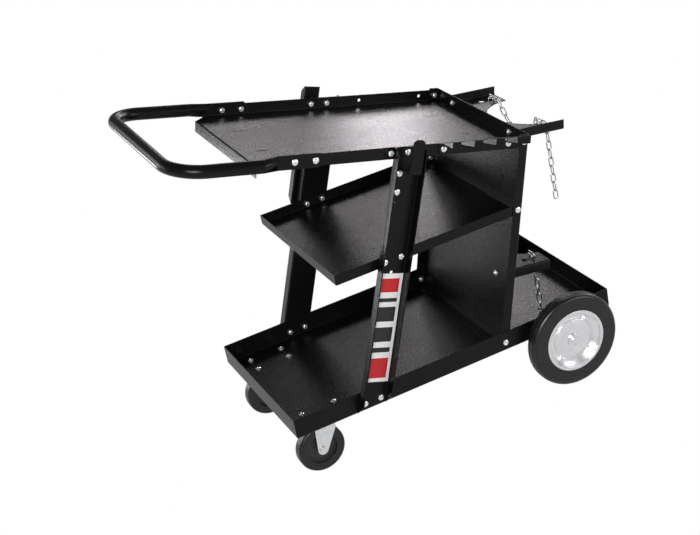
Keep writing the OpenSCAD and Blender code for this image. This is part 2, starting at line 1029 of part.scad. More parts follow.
module axle_carrier() {
    top = tray_z - seat;
    difference() {
        union() {
            translate([axle_x - carrier_w / 2, carrier_in, top - carrier_t])
                cube([carrier_w, carrier_out - carrier_in, carrier_t]);
            for (y = [carrier_in, carrier_out - carrier_t])
                translate([axle_x, y + carrier_t, axle_z])
                    rotate([90, 0, 0])
                        linear_extrude(carrier_t)
                            union() {
                                circle(r = carrier_drop);
                                polygon([
                                    [-carrier_drop, 0],
                                    [carrier_drop, 0],
                                    [carrier_w / 2, top - axle_z],
                                    [-carrier_w / 2, top - axle_z]
                                ]);
                            }
        }
        cross_hole(axle_x, axle_z, axle_d + 2 * run_gap);
    }
}

module axle_carrier_near() {
    color(black_coat)
        mirror([0, 1, 0])
            axle_carrier();
}

module axle_carrier_far() {
    color(black_coat)
        axle_carrier();
}

module rear_axle() {
    color(zinc)
        difference() {
            translate([axle_x, 0, axle_z])
                rotate([90, 0, 0])
                    rotate_extrude()
                        polygon([
                            [0, -axle_half],
                            [axle_d / 2 - axle_tip, -axle_half],
                            [axle_d / 2, -axle_half + axle_tip],
                            [axle_d / 2, axle_half - axle_tip],
                            [axle_d / 2 - axle_tip, axle_half],
                            [0, axle_half]
                        ]);
            both_sides()
                translate([axle_x, pin_y, axle_z])
                    cylinder(d = pin_d + 2 * run_gap, h = 2 * axle_d, center = true);
        }
}

module ring(d_out, d_in, y0, y1) {
    translate([axle_x, y1, axle_z])
        rotate([90, 0, 0])
            difference() {
                cylinder(d = d_out, h = y1 - y0);
                translate([0, 0, -over])
                    cylinder(d = d_in, h = y1 - y0 + 2 * over);
            }
}

// Spacer tubes inside the wheels and washers outside them
module axle_washers() {
    bore = axle_d + 2 * run_gap;
    color(zinc)
        both_sides() {
            ring(hub_d, bore, carrier_out + seat, hub_start - washer_t - 2 * seat);
            ring(washer_d, bore, hub_start - washer_t - seat, hub_start - seat);
            ring(washer_d, bore, hub_end + seat, hub_end + seat + washer_t);
        }
}

// Cotter pins: a straight shank with a round eye
module axle_pins() {
    color(zinc)
        both_sides()
            translate([axle_x, pin_y, axle_z]) {
                translate([0, 0, -pin_out - axle_d / 2 + pin_d])
                    cylinder(d = pin_d, h = axle_d + 2 * pin_out - pin_d);
                translate([0, 0, axle_d / 2 + pin_out])
                    rotate([90, 0, 0])
                        rotate_extrude()
                            translate([pin_d, 0])
                                circle(d = pin_d / 2);
            }
}

// Rear wheels, drawn at the middle of the near wheel with Z outwards

module at_wheel(side) {
    translate([axle_x, side * wheel_y, axle_z])
        rotate([side * -90, 0, 0])
            children();
}

module tyre_outline() {
    half = wheel_w / 2;
    crown = wheel_d / 2;
    difference() {
        union() {
            translate([tyre_bead_r, -half])
                square([crown - tyre_shoulder - tyre_bead_r, 2 * half]);
            translate([tyre_bead_r, -half + tyre_shoulder])
                square([crown - tyre_bead_r, 2 * (half - tyre_shoulder)]);
            for (y = [-1, 1])
                translate([crown - tyre_shoulder, y * (half - tyre_shoulder)])
                    circle(r = tyre_shoulder);
        }
        for (i = [0 : rib_count - 1])
            translate([crown - rib_deep, (i - (rib_count - 1) / 2) * rib_pitch - rib_w / 2])
                square([2 * rib_deep, rib_w]);
        // Room for the rim's lips
        for (k = [0, 1])
            mirror([0, k])
                translate([0, rim_lip_y - bead_gap])
                    square([tyre_bead_r + rim_lip, half]);
    }
}

module wheel_tyre() {
    color(rubber)
        rotate_extrude($fn = 96)
            tyre_outline();
}

// One pressed half of the rim, from the hub: dish, step, bolting ring, cone, seat and lip
module wheel_rim(raised) {
    seat_r = tyre_bead_r - bead_gap;
    flat = seat / 2;
    color(zinc)
        difference() {
            rotate_extrude($fn = 96)
                polygon(strip([
                    [hub_d / 2 + seat, flat + raised * rim_step],
                    [rim_dish_r, flat + raised * rim_step],
                    [rim_step_r, flat + raised * (rim_step - rim_dish)],
                    [rim_flat_r, flat],
                    [rim_cone_r, flat],
                    [seat_r, flat + rim_cone],
                    [seat_r, rim_lip_y],
                    [seat_r + rim_lip, rim_lip_y]
                ], rim_sheet));
            for (i = [0 : rim_bolts - 1])
                rotate([0, 0, (i + 0.5) * 360 / rim_bolts])
                    translate([rim_bolt_r, 0, -over])
                        cylinder(d = rim_bolt_d + seat, h = 2 * over + rim_step);
        }
}

// Hub tube, welded into the dishes
module wheel_hub() {
    color(zinc)
        difference() {
            translate([0, 0, -hub_in])
                cylinder(d = hub_d, h = hub_in + hub_out);
            translate([0, 0, -hub_in - over])
                cylinder(d = axle_d + 2 * run_gap, h = hub_in + hub_out + 2 * over);
        }
}

module wheel_bolts() {
    stack = seat / 2 + rim_sheet + seat;
    color(zinc)
        for (i = [0 : rim_bolts - 1])
            rotate([0, 0, (i + 0.5) * 360 / rim_bolts])
                translate([rim_bolt_r, 0, 0]) {
                    translate([0, 0, -stack - rim_bolt_head_h])
                        cylinder(d = rim_bolt_d, h = 2 * stack + rim_bolt_head_h);
                    translate([0, 0, stack])
                        cylinder(d = rim_bolt_head / cos(30), h = rim_bolt_head_h, $fn = 6);
                    translate([0, 0, -stack - rim_bolt_head_h])
                        cylinder(d = rim_bolt_head / cos(30), h = rim_bolt_head_h, $fn = 6);
                }
}

module wheel_tyre_near()
    at_wheel(-1) wheel_tyre();
module wheel_rim_outer_near()
    at_wheel(-1) wheel_rim(1);
module wheel_rim_inner_near()
    at_wheel(-1) mirror([0, 0, 1]) wheel_rim(0);
module wheel_hub_near()
    at_wheel(-1) wheel_hub();
module wheel_bolts_near()
    at_wheel(-1) wheel_bolts();
module wheel_tyre_far()
    at_wheel(1) wheel_tyre();
module wheel_rim_outer_far()
    at_wheel(1) wheel_rim(1);
module wheel_rim_inner_far()
    at_wheel(1) mirror([0, 0, 1]) wheel_rim(0);
module wheel_hub_far()
    at_wheel(1) wheel_hub();
module wheel_bolts_far()
    at_wheel(1) wheel_bolts();

// Casters, drawn about the kingpin with the floor at Z 0

caster_axle_z = caster_d / 2;
plate_top = tray_z - seat;

module at_caster(side) {
    translate([king_x, side * caster_y, 0])
        children();
}

module caster_plate() {
    color(zinc)
        difference() {
            union() {
                translate([0, 0, plate_top - caster_plate_t])
                    linear_extrude(caster_plate_t)
                        difference() {
                            square([caster_plate_l, caster_plate_w], center = true);
                            for (x = [-1, 1], y = [-1, 1])
                                translate([x * caster_plate_l / 2, y * caster_plate_w / 2])
                                    rotate(45)
                                        square(caster_corner, center = true);
                        }
                translate([0, 0, plate_top - caster_plate_t - race_h])
                    cylinder(d = race_d, h = race_h);
            }
            // Room for the fork's inner race
            translate([0, 0, plate_top - caster_plate_t - race_h - over])
                cylinder(d = race_d - 2 * race_wall, h = race_h + over);
            cylinder(d = king_d + 2 * run_gap, h = tray_z);
            for (x = [-1, 1], y = [-1, 1])
                translate([x * caster_bolt_l / 2, y * caster_bolt_w / 2, 0])
                    cylinder(d = screw_hole, h = tray_z);
        }
}

module caster_kingpin() {
    low = fork_top_z - fork_t - free_gap;
    color(zinc) {
        translate([0, 0, low])
            cylinder(d = king_d, h = plate_top - low);
        translate([0, 0, low - king_head_h])
            cylinder(d = king_head_d, h = king_head_h);
    }
}

module fork_leg_outline() {
    top = fork_top_z - caster_axle_z;
    translate([-caster_trail, 0])
        circle(r = fork_boss_r);
    polygon([
        [-caster_trail - fork_boss_r, 0],
        [-fork_front, top],
        [fork_rear, top],
        [fork_rear, top - fork_knee],
        [-caster_trail + fork_boss_r * cos(30), -fork_boss_r * sin(30)]
    ]);
}

module caster_fork() {
    race_r = race_d / 2 - race_wall - free_gap;
    color(zinc)
        difference() {
            union() {
                for (y = [-1, 1])
                    translate([0, y * (fork_inner + fork_t) / 2 + fork_t / 2, caster_axle_z])
                        rotate([90, 0, 0])
                            linear_extrude(fork_t)
                                fork_leg_outline();
                translate([-fork_front, -fork_inner / 2 - fork_t, fork_top_z - fork_t])
                    cube([fork_front + fork_rear, fork_inner + 2 * fork_t, fork_t]);
                translate([0, 0, fork_top_z - fork_t])
                    cylinder(d = race_d, h = fork_t);
                translate([0, 0, fork_top_z - fork_t])
                    cylinder(r = race_r, h = plate_top - caster_plate_t - free_gap - fork_top_z + fork_t);
            }
            cylinder(d = king_d + 2 * run_gap, h = tray_z);
            // Hollow of the inner race
            translate([0, 0, fork_top_z])
                cylinder(r = race_r - race_wall, h = race_h + fork_t);
            translate([-caster_trail, 0, caster_axle_z])
                rotate([90, 0, 0])
                    cylinder(d = caster_axle_d + 2 * run_gap, h = 2 * fork_inner, center = true);
        }
}

module at_caster_axle() {
    translate([-caster_trail, 0, caster_axle_z])
        rotate([90, 0, 0])
            children();
}

module caster_tyre() {
    half = caster_w / 2;
    color(rubber)
        at_caster_axle()
            rotate_extrude($fn = 72)
                difference() {
                    union() {
                        translate([caster_core_r, -half])
                            square([caster_d / 2 - caster_shoulder - caster_core_r, caster_w]);
                        translate([caster_core_r, -half + caster_shoulder])
                            square([caster_d / 2 - caster_core_r, caster_w - 2 * caster_shoulder]);
                        for (y = [-1, 1])
                            translate([caster_d / 2 - caster_shoulder, y * (half - caster_shoulder)])
                                circle(r = caster_shoulder);
                    }
                }
}

// Wheel core: rim ring, thin web and hub with the running bore
module caster_core() {
    half = caster_w / 2;
    outer = caster_core_r - bead_gap;
    color(black_coat)
        at_caster_axle()
            difference() {
                rotate_extrude($fn = 72)
                    union() {
                        translate([outer - caster_rim_t, -half])
                            square([caster_rim_t, caster_w]);
                        translate([caster_hub_r - over, -caster_web_t / 2])
                            square([outer - caster_hub_r, caster_web_t]);
                        translate([0, -fork_inner / 2 + free_gap])
                            square([caster_hub_r, fork_inner - 2 * free_gap]);
                    }
                cylinder(d = caster_axle_d + 2 * run_gap, h = fork_inner, center = true);
            }
}

module caster_axle() {
    reach = fork_inner / 2 + fork_t + seat;
    color(zinc)
        at_caster_axle() {
            cylinder(d = caster_axle_d, h = 2 * (reach + caster_head_h), center = true);
            for (k = [0, 1])
                mirror([0, 0, k])
                    translate([0, 0, reach])
                        cylinder(d = caster_head_af / cos(30), h = caster_head_h, $fn = 6);
        }
}

module caster_plate_near()
    at_caster(-1) caster_plate();
module caster_kingpin_near()
    at_caster(-1) caster_kingpin();
module caster_fork_near()
    at_caster(-1) caster_fork();
module caster_tyre_near()
    at_caster(-1) caster_tyre();
module caster_core_near()
    at_caster(-1) caster_core();
module caster_axle_near()
    at_caster(-1) caster_axle();
module caster_plate_far()
    at_caster(1) caster_plate();
module caster_kingpin_far()
    at_caster(1) caster_kingpin();
module caster_fork_far()
    at_caster(1) caster_fork();
module caster_tyre_far()
    at_caster(1) caster_tyre();
module caster_core_far()
    at_caster(1) caster_core();
module caster_axle_far()
    at_caster(1) caster_axle();

// Screws and nuts: the screw's head is below the origin and its shank points up

module screw(grip) {
    shank = grip + nut_h + screw_tip;
    dome = (pow(head_d / 2, 2) + pow(head_h / 2, 2)) / head_h;
    difference() {
        union() {
            cylinder(d = screw_d, h = shank);
            rotate_extrude()
                intersection() {
                    translate([0, -head_h + dome])
                        circle(r = dome, $fn = 96);
                    translate([0, -head_h])
                        square([head_d / 2, head_h]);
                }
        }
        for (a = [0, 90])
            rotate([0, 0, a])
                translate([-recess_l / 2, -recess_w / 2, -head_h - over])
                    cube([recess_l, recess_w, recess_deep + over]);
    }
}

module nut(grip) {
    translate([0, 0, grip])
        difference() {
            cylinder(d = nut_af / cos(30), h = nut_h, $fn = 6);
            translate([0, 0, -over])
                cylinder(d = nut_bore, h = nut_h + 2 * over);
        }
}

// Near-side places as [X, Z, outer face, inner face], with the screw pointing inwards
rail_in = rail_half - sheet;
rail_stacks = concat(
    [for (s = handle_bolts) rail_stack(s, rail_half + seat + flat_t)],
    [for (s = post_bolts) rail_stack(s, post_face(rail_z(s, rail_bolt_h)))],
    [rail_stack(panel_bolt_s, panel_half)]
);
rack_stacks = [for (s = rack_bolts) rail_stack(s, rail_half + seat + plate)];
shelf_stacks = concat(
    [for (x = post_shelf_x) [x, shelf_bolt_z, post_face(shelf_bolt_z), rail_in]],
    [[panel_shelf_x, shelf_bolt_z, panel_half, rail_in]]
);
tray_stacks = concat(
    [for (x = post_tray_x) [x, tray_bolt_z, post_face(tray_bolt_z), tray_half - sheet]],
    [[panel_tray_x, flange_bolt_z, tray_half, panel_half - sheet]]
);
function rail_stack(s, face) = [rail_x(s, rail_bolt_h), rail_z(s, rail_bolt_h), face, rail_in];
function grip(stack) = stack[2] - stack[3] + 2 * seat;

module at_stack(stack) {
    translate([stack[0], -stack[2] - seat, stack[1]])
        rotate([-90, 0, 0])
            children();
}

module stack_screws(stacks) {
    color(zinc)
        for (k = stacks)
            at_stack(k)
                screw(grip(k));
}

module stack_nuts(stacks) {
    color(zinc)
        for (k = stacks)
            at_stack(k)
                nut(grip(k));
}

module rail_screws() {
    both_sides()
        stack_screws(rail_stacks);
    stack_screws(rack_stacks);
}

module rail_nuts() {
    both_sides()
        stack_nuts(rail_stacks);
    stack_nuts(rack_stacks);
}

module shelf_screws() {
    both_sides()
        stack_screws(shelf_stacks);
}

module shelf_nuts() {
    both_sides()
        stack_nuts(shelf_stacks);
}

// Thin washers that fill the play between the shelf's walls and the posts
module shelf_spacers() {
    room = post_face(shelf_bolt_z) - plate - rail_half;
    color(zinc)
        both_sides()
            for (x = post_shelf_x)
                translate([x, -rail_half - seat / 2, shelf_bolt_z])
                    rotate([90, 0, 0])
                        difference() {
                            cylinder(d = head_d, h = room - seat);
                            translate([0, 0, -over])
                                cylinder(d = screw_hole, h = room + over);
                        }
}

module tray_screws() {
    both_sides()
        stack_screws(tray_stacks);
}

module tray_nuts() {
    both_sides()
        stack_nuts(tray_stacks);
}

bracket_grip = sheet + plate + 3 * seat;

module at_bracket_bolts() {
    for (z = [upper_bolt_z, lower_bolt_z])
        bracket_bolt_places(z)
            translate([0, 0, -sheet - seat])
                children();
}

module bracket_screws() {
    color(zinc)
        at_bracket_bolts()
            screw(bracket_grip);
}

module bracket_nuts() {
    color(zinc)
        at_bracket_bolts()
            nut(bracket_grip);
}

hook_grip = 2 * plate + 3 * seat;

module at_hook_bolts() {
    at_post()
        hook_bolt_places(hook_bolt_x, hook_bolt_z)
            translate([0, 0, 2 * plate + 2 * seat])
                mirror([0, 0, 1])
                    children();
    mirror([0, 1, 0])
        at_post()
            hook_bolt_places(pocket_foot_x, pocket_bolt_z)
                translate([0, 0, 2 * plate + 2 * seat])
                    mirror([0, 0, 1])
                        children();
}

module hook_screws() {
    color(zinc)
        at_hook_bolts()
            screw(hook_grip);
}

module hook_nuts() {
    color(zinc)
        at_hook_bolts()
            nut(hook_grip);
}

caster_grip = sheet + caster_plate_t + 3 * seat;

module at_caster_bolts() {
    both_sides()
        caster_bolt_places()
            translate([0, 0, tray_floor + seat])
                mirror([0, 0, 1])
                    children();
}

module caster_screws() {
    color(zinc)
        at_caster_bolts()
            screw(caster_grip);
}

module caster_nuts() {
    color(zinc)
        at_caster_bolts()
            nut(caster_grip);
}

// Chains

// One link along X, lying in the XY plane, with its first end's wire at the origin
module link() {
    for (k = [0, 1])
        translate([link_l / 2, 0, 0])
            rotate([0, 0, 180 * k]) {
                translate([link_r - link_l / 2, link_r, 0])
                    rotate([0, 90, 0])
                        cylinder(d = link_d, h = link_l - 2 * link_r);
                translate([link_l / 2 - link_r, 0, 0])
                    rotate([0, 0, -90])
                        rotate_extrude(angle = 180)
                            translate([link_r, 0])
                                circle(d = link_d);
            }
}

module link_at(start, heading, pitch, roll) {
    color(zinc)
        translate(start)
            rotate([0, -pitch, heading])
                rotate([roll, 0, 0])
                    link();
}

// Where a bracket's slot ends, on the face of its plate that is up
function slot_end(fold_z, up) = [
    foot_x + fold_z * sin(tilt) + seat * cos(tilt) + key_x * cos(bracket_tilt)
        + up * sin(bracket_tilt),
    foot_z + fold_z * cos(tilt) - seat * sin(tilt) - key_x * sin(bracket_tilt)
        + up * cos(bracket_tilt)
];

// Height of the chain's middle where it lies on a bracket's arm
arm_lift = free_gap / 2 + link_w / 2 * (1 + tan(bracket_tilt));
upper_end = slot_end(upper_fold, plate) + [0, arm_lift];
lower_end = slot_end(lower_fold, 0) + [0, arm_lift];

// A chain across both arms, in the YZ plane. Every second link stands in that plane.
// Two links bear on each other where the wire of one is inside the loop of the other.
chain_n = span_links + 4;
half_n = (chain_n - 1) / 2;
chain_y0 = -bracket_arm_y - link_r + link_hold * cos(45);
function way(a) = [cos(a), sin(a)];
function slope(c, i) = abs(i - half_n) > half_n - 2 ? 0 : atan(c * (i - half_n));
function next_start(from, a, b, stands) =
    from + link_l * way(a) - link_r * way(stands ? a : b) + link_hold * unit(way(a) + way(b));
function start(c, i) =
    i == 0 ? [chain_y0, 0]
        : next_start(start(c, i - 1), slope(c, i - 1), slope(c, i), i % 2 == 1);
function fit_chain(low, high, steps) =
    let (mid = (low + high) / 2)
    steps == 0 ? mid
        : start(mid, chain_n - 1)[0] + link_l > -chain_y0 ? fit_chain(mid, high, steps - 1)
        : fit_chain(low, mid, steps - 1);
chain_c = fit_chain(0, 2, 24);

module cross_links(end, first, last) {
    for (i = [first : last])
        let (p = start(chain_c, i))
            link_at([end[0], p[0], end[1] + p[1]], 90, slope(chain_c, i), 90 * ((i + 1) % 2));
}

// Wire height of the top of the links that are caught in the slots
slot_link_drop = link_hold * sin(45);

// Links that lie on the arms, and the links that stand in the slots
module chain_ends(end) {
    cross_links(end, 0, 1);
    cross_links(end, chain_n - 2, chain_n - 1);
    for (y = [-bracket_arm_y, bracket_arm_y])
        slot_link(end, y);
}

module slot_link(end, y) {
    link_at([end[0], y, end[1] - slot_link_drop], 90, -90, 0);
}

function tail_start(end) =
    [end[0], -bracket_arm_y, end[1] - slot_link_drop - link_pitch];

module upper_chain_ends()
    chain_ends(upper_end);

module upper_chain_span()
    cross_links(upper_end, 2, chain_n - 3);

module upper_chain_tail() {
    for (i = [0 : tail_links - 1])
        link_at(tail_start(upper_end) - [0, 0, i * link_pitch], 90 * i, -90, 0);
}

// The lower chain hangs in the near slot alone, held by one link that stands on the arm
module lower_chain_end() {
    cross_links(lower_end, 0, 0);
    slot_link(lower_end, -bracket_arm_y);
}

// The lower tail hangs to the tray floor, with a little twist, and then lies along it
lie_lift = link_r * sin(45) + link_d / 2 + free_gap;
lie_z = tray_floor + lie_lift;
lie_side = link_r + link_hold;
hang_z = tail_start(lower_end)[2];
hang_n = floor((hang_z - link_l - tray_floor - link_d / 2) / link_pitch) + 1;
hang_turn = ((lie_heading - 90 * (hang_n - 1)) % 180 + 270) % 180 - 90;
hang_end = hang_z - link_l - (hang_n - 1) * link_pitch;

// The first lying link slopes down from the last hanging one
lie_run = link_l - link_r - (link_l - link_pitch) / 2;
lie_up = lie_side * sin(45);
lie_pitch = asin((hang_end + link_r - lie_z) / norm([lie_run, lie_up])) - atan(lie_up / lie_run);
first_up = [sin(lie_pitch) * cos(lie_heading), sin(lie_pitch) * sin(lie_heading), cos(lie_pitch)];
first_way = [cos(lie_pitch) * cos(lie_heading), cos(lie_pitch) * sin(lie_heading), -sin(lie_pitch)];
first_side = [-sin(lie_heading), cos(lie_heading), 0];
first_start = [lower_end[0], -bracket_arm_y, hang_end + link_r]
    + lie_side * (first_side * cos(45) - first_up * sin(45)) - link_r * first_way;
function lie_turn(i) = lie_heading + max(0, i - 1) * lie_bend;
function lie_joint(i) =
    i == 0 ? first_start + (link_l + link_pitch) / 2 * first_way
        : lie_joint(i - 1) + link_pitch * [cos(lie_turn(i)), sin(lie_turn(i)), 0];

module lower_chain_tail() {
    for (i = [0 : hang_n - 1])
        link_at([lower_end[0], -bracket_arm_y, hang_z - i * link_pitch],
            90 * i + hang_turn * i / (hang_n - 1), -90, 0);
    link_at(first_start, lie_heading, -lie_pitch, -45);
    for (i = [1 : lying_links - 1])
        let (back = (link_l - link_pitch) / 2)
            link_at(lie_joint(i - 1) - back * [cos(lie_turn(i)), sin(lie_turn(i)), 0],
                lie_turn(i), 0, 45 * (i % 2 == 1 ? 1 : -1));
}

bottom_tray();
middle_shelf();
top_tray();
rear_panel();
front_post_near();
front_post_far();
handle();
torch_rack();
cable_hook();
rod_pocket();
upper_bracket();
lower_bracket();
axle_carrier_near();
axle_carrier_far();
rear_axle();
axle_washers();
axle_pins();
wheel_tyre_near();
wheel_rim_outer_near();
wheel_rim_inner_near();
wheel_hub_near();
wheel_bolts_near();
wheel_tyre_far();
wheel_rim_outer_far();
wheel_rim_inner_far();
wheel_hub_far();
wheel_bolts_far();
caster_plate_near();
caster_kingpin_near();
caster_fork_near();
caster_tyre_near();
caster_core_near();
caster_axle_near();
caster_plate_far();
caster_kingpin_far();
caster_fork_far();
caster_tyre_far();
caster_core_far();
caster_axle_far();
rail_screws();
rail_nuts();
shelf_screws();
shelf_nuts();
shelf_spacers();
tray_screws();
tray_nuts();
bracket_screws();
bracket_nuts();
hook_screws();
hook_nuts();
caster_screws();
caster_nuts();
upper_chain_ends();
upper_chain_span();
upper_chain_tail();
lower_chain_end();
lower_chain_tail();
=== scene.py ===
import json
import math

import bpy
from mathutils import Matrix, Vector


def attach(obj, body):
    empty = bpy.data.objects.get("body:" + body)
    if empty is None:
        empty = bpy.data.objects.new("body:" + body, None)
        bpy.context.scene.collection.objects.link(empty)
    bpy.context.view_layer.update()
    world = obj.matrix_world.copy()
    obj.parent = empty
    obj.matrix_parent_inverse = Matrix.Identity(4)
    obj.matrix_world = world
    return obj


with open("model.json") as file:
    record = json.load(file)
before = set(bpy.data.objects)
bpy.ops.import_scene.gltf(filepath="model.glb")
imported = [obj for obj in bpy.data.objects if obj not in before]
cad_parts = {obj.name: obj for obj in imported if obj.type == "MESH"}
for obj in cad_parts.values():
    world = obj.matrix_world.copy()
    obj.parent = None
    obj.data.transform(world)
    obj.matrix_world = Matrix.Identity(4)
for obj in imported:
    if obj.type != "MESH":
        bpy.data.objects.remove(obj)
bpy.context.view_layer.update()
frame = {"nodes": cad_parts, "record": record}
MM = 0.001


# Node materials

class Mat:
    """A node material, written as a chain of small steps."""

    def __init__(self, name):
        self.mat = bpy.data.materials.new(name)
        self.mat.use_nodes = True
        self.tree = self.mat.node_tree
        self.bsdf = self.tree.nodes["Principled BSDF"]
        self.coord = self.new("ShaderNodeTexCoord").outputs["Object"]

    def new(self, kind, **values):
        node = self.tree.nodes.new(kind)
        for key, value in values.items():
            setattr(node, key, value)
        return node

    def put(self, node, socket, value):
        target = node.inputs[socket]
        if isinstance(value, bpy.types.NodeSocket):
            self.tree.links.new(value, target)
        else:
            target.default_value = value

    def noise(self, scale, detail=2.0, rough=0.5):
        n = self.new("ShaderNodeTexNoise")
        self.put(n, "Vector", self.coord)
        n.inputs["Scale"].default_value = scale
        n.inputs["Detail"].default_value = detail
        n.inputs["Roughness"].default_value = rough
        return n.outputs["Fac"]

    def ramp(self, fac, *stops):
        r = self.new("ShaderNodeValToRGB")
        self.put(r, "Fac", fac)
        band = r.color_ramp
        while len(band.elements) < len(stops):
            band.elements.new(0.5)
        for element, (at, colour) in zip(band.elements, stops):
            element.position = at
            if not isinstance(colour, (tuple, list)):
                colour = (colour, colour, colour)
            element.color = (*colour, 1.0)
        return r.outputs["Color"]

    def math(self, what, a, b=0.0):
        m = self.new("ShaderNodeMath", operation=what)
        self.put(m, 0, a)
        self.put(m, 1, b)
        return m.outputs["Value"]

    def spread(self, fac, width, low):
        """The factor times a width, on top of a low value."""
        return self.math("ADD", self.math("MULTIPLY", fac, width), low)

    def mix(self, fac, a, b):
        m = self.new("ShaderNodeMix", data_type="RGBA")
        self.put(m, "Factor", fac)
        for socket, value in ((m.inputs[6], a), (m.inputs[7], b)):
            if isinstance(value, bpy.types.NodeSocket):
                self.tree.links.new(value, socket)
            else:
                socket.default_value = (*value, 1.0)
        return m.outputs[2]

    def bump(self, height, strength, distance, after=None):
        b = self.new("ShaderNodeBump")
        self.put(b, "Height", height)
        b.inputs["Strength"].default_value = strength
        b.inputs["Distance"].default_value = distance
        if after is not None:
            self.put(b, "Normal", after)
        return b.outputs["Normal"]

    def edge(self, radius):
        b = self.new("ShaderNodeBevel", samples=4)
        b.inputs["Radius"].default_value = radius
        return b.outputs["Normal"]

    def finish(self, **sockets):
        for key, value in sockets.items():
            name = key.replace("_", " ")
            if isinstance(value, tuple):
                value = (*value, 1.0)
            self.put(self.bsdf, name, value)
        return self.mat


def powder_coat(name, rough_low, grain_depth):
    """Black coat with a fine grain and a little dust."""
    m = Mat(name)
    broad = m.noise(7.0, 3.0)
    grain = m.noise(330.0, 3.0, 0.65)
    fine = m.noise(1300.0, 2.0)
    speck = m.noise(640.0, 2.0, 0.7)
    tone = m.ramp(broad, (0.3, (0.0030, 0.0028, 0.0030)), (0.7, (0.0046, 0.0043, 0.0046)))
    dust = m.math("MULTIPLY", m.ramp(speck, (0.60, 0.0), (0.72, 1.0)), 0.30)
    colour = m.mix(dust, tone, (0.014, 0.013, 0.014))
    rough = m.math("ADD", m.math("MULTIPLY", broad, 0.12), m.math("MULTIPLY", grain, 0.16))
    rough = m.math("ADD", rough, rough_low)
    normal = m.bump(m.math("ADD", grain, m.math("MULTIPLY", fine, 0.3)), 0.5, grain_depth,
                    m.edge(0.0008))
    return m.finish(Base_Color=colour, Roughness=rough, Normal=normal, Specular_IOR_Level=0.20)


def zinc_plate():
    m = Mat("zinc_plate")
    cloud = m.noise(160.0, 3.0)
    fine = m.noise(1400.0, 2.0)
    colour = m.ramp(cloud, (0.3, (0.80, 0.81, 0.83)), (0.7, (0.93, 0.94, 0.95)))
    rough = m.spread(fine, 0.14, 0.18)
    normal = m.bump(fine, 0.12, 0.0001, m.edge(0.0005))
    return m.finish(Base_Color=colour, Roughness=rough, Metallic=0.85, Normal=normal)


def bright_zinc():
    m = Mat("bright_zinc")
    cloud = m.noise(45.0, 4.0)
    fine = m.noise(900.0, 2.0)
    colour = m.ramp(cloud, (0.3, (0.86, 0.86, 0.88)), (0.7, (0.95, 0.95, 0.96)))
    rough = m.spread(cloud, 0.10, 0.24)
    normal = m.bump(m.math("ADD", cloud, m.math("MULTIPLY", fine, 0.1)), 0.05, 0.0006, m.edge(0.0012))
    return m.finish(Base_Color=colour, Roughness=rough, Metallic=1.0, Normal=normal)


def chain_steel():
    m = Mat("chain_steel")
    cloud = m.noise(300.0, 3.0)
    colour = m.ramp(cloud, (0.3, (0.52, 0.53, 0.55)), (0.7, (0.76, 0.77, 0.79)))
    rough = m.spread(cloud, 0.20, 0.18)
    normal = m.bump(cloud, 0.15, 0.0002)
    return m.finish(Base_Color=colour, Roughness=rough, Metallic=1.0, Normal=normal)


def tyre_rubber(name, axle, rings):
    """Rubber with fine rings about the wheel's axis on its sidewalls."""
    m = Mat(name)
    broad = m.noise(30.0, 3.0)
    fine = m.noise(1500.0, 2.0)
    place = m.new("ShaderNodeVectorMath", operation="SUBTRACT")
    m.put(place, 0, m.coord)
    place.inputs[1].default_value = axle
    flat = m.new("ShaderNodeVectorMath", operation="MULTIPLY")
    m.put(flat, 0, place.outputs["Vector"])
    flat.inputs[1].default_value = (1.0, 0.0, 1.0)
    length = m.new("ShaderNodeVectorMath", operation="LENGTH")
    m.put(length, 0, flat.outputs["Vector"])
    radius = length.outputs["Value"]
    wave = m.math("SINE", m.math("MULTIPLY", radius, rings))
    groove = m.ramp(wave, (0.80, 0.0), (0.97, 1.0))
    colour = m.ramp(broad, (0.3, (0.008, 0.0075, 0.0075)), (0.7, (0.014, 0.013, 0.013)))
    rough = m.spread(broad, 0.14, 0.24)
    normal = m.bump(fine, 0.20, 0.0002, m.edge(0.0010))
    normal = m.bump(m.math("SUBTRACT", 1.0, groove), 1.0, 0.0030, normal)
    return m.finish(Base_Color=colour, Roughness=rough, Normal=normal, Specular_IOR_Level=0.50)


def black_core():
    m = Mat("black_core")
    fine = m.noise(700.0, 2.0)
    colour = m.ramp(fine, (0.3, (0.016, 0.016, 0.017)), (0.7, (0.024, 0.024, 0.025)))
    rough = m.spread(fine, 0.14, 0.40)
    normal = m.bump(fine, 0.15, 0.0002, m.edge(0.0010))
    return m.finish(Base_Color=colour, Roughness=rough, Normal=normal)


def label_film(name, low, high):
    m = Mat(name)
    fine = m.noise(380.0, 2.0)
    colour = m.ramp(fine, (0.3, low), (0.7, high))
    rough = m.spread(fine, 0.12, 0.24)
    normal = m.bump(fine, 0.06, 0.0001)
    return m.finish(Base_Color=colour, Roughness=rough, Normal=normal)


RING_RATE = 900.0
CASTER_AXLE = (-0.244, 0.0, 0.05)
REAR_AXLE = (0.31, 0.0, 0.1)
EDGE_ANGLE = math.radians(32)
WELD_REACH = 1e-6

FINISH = {
    "powder_coat": powder_coat("powder_coat", 0.14, 0.00065),
    "zinc_plate": zinc_plate(),
    "bright_zinc": bright_zinc(),
    "chain_steel": chain_steel(),
    "rubber": tyre_rubber("caster_rubber", CASTER_AXLE, RING_RATE),
    "black_core": black_core(),
}

